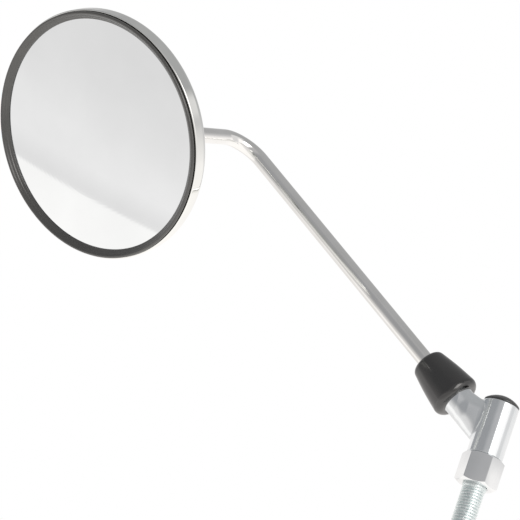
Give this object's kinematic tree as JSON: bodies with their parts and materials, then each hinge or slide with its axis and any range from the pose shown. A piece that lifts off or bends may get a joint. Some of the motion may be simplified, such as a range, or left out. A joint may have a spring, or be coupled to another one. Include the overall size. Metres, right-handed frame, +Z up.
{
  "type": "motorcycle mirror",
  "caption": "Round convex rear-view mirror in a rubber ring and chromed dome, on a ball-jointed bent arm with a swivelling holder, rubber boot and threaded stud.",
  "frame": {"origin": "on the stud's axis at the lower face of the stud's collar, where the handlebar's boss begins", "axes": "+Z up the stud into the holder; the arm rises towards -X in the XZ plane; the glass looks along -Y, 15 degrees towards -X and 40 degrees down"},
  "size_m": [0.2398, 0.1359, 0.1507],
  "materials": {
    "zinc_stud": "zinc-plated rolled thread, bright and slightly blue",
    "zinc_screw": "zinc-plated screw and nut",
    "nut_chrome": "chromed machined hexagon",
    "holder_chrome": "chromed casting",
    "arm_chrome": "chromed bent rod",
    "shell_chrome": "polished chromed pressing",
    "plain_steel": "pressed or turned steel, uncoated",
    "spring_steel": "hardened spring steel",
    "boot_rubber": "moulded black rubber, satin",
    "rim_rubber": "moulded black rubber ring, satin",
    "cap_rubber": "moulded black plug",
    "seat_nylon": "moulded nylon, natural colour",
    "pad_foam": "closed foam sheet",
    "silvered_glass": "back-silvered convex glass"
  },
  "bodies": {
    "mounting": {"stud": "zinc_stud", "lock_nut": "nut_chrome"},
    "holder": {"holder": "holder_chrome", "barrel_cap": "cap_rubber"},
    "arm": {"arm_rod": "arm_chrome", "arm_washer": "plain_steel", "arm_lock_nut": "plain_steel", "ball_end": "plain_steel"},
    "boot": {"boot": "boot_rubber"},
    "front_seat": {"front_seat": "seat_nylon"},
    "rear_seat": {"rear_seat": "seat_nylon"},
    "head": {"socket_plate": "plain_steel", "pressure_plate": "plain_steel", "clamp_screw_1": "zinc_screw", "clamp_screw_2": "zinc_screw", "clamp_screw_3": "zinc_screw", "cup_spring_1": "spring_steel", "cup_spring_2": "spring_steel", "cup_spring_3": "spring_steel", "clamp_nut_1": "zinc_screw", "clamp_nut_2": "zinc_screw", "clamp_nut_3": "zinc_screw", "backing_disc": "plain_steel", "foam_pad": "pad_foam", "mirror_glass": "silvered_glass", "rim_ring": "rim_rubber", "shell": "shell_chrome"}
  },
  "joints": [
    {"name": "holder_swivel", "type": "hinge", "parent": "mounting", "child": "holder", "pos_m": [0, 0, 0.0223], "axis": [0, 0, 1], "continuous": true},
    {"name": "arm_twist", "type": "hinge", "parent": "holder", "child": "arm", "pos_m": [0, 0, 0.0223], "axis": [-0.8192, 0, 0.5736], "range_deg": [-180, 180]},
    {"name": "boot_slide", "type": "slide", "parent": "arm", "child": "boot", "axis": [-0.8192, 0, 0.5736], "range_m": [0, 0.04]},
    {"name": "head_spin", "type": "hinge", "parent": "arm", "child": "front_seat", "pos_m": [-0.17534, -0.0766, 0.0903], "axis": [-0.2306, -0.8606, -0.454], "continuous": true},
    {"name": "head_tilt", "type": "hinge", "parent": "front_seat", "child": "rear_seat", "pos_m": [-0.17534, -0.0766, 0.0903], "axis": [0.9659, -0.2588, 0], "range_deg": [-27, 1]},
    {"name": "head_pan", "type": "hinge", "parent": "rear_seat", "child": "head", "pos_m": [-0.17534, -0.0766, 0.0903], "axis": [-0.1664, -0.6209, 0.766], "range_deg": [-12, 12]}
  ]
}
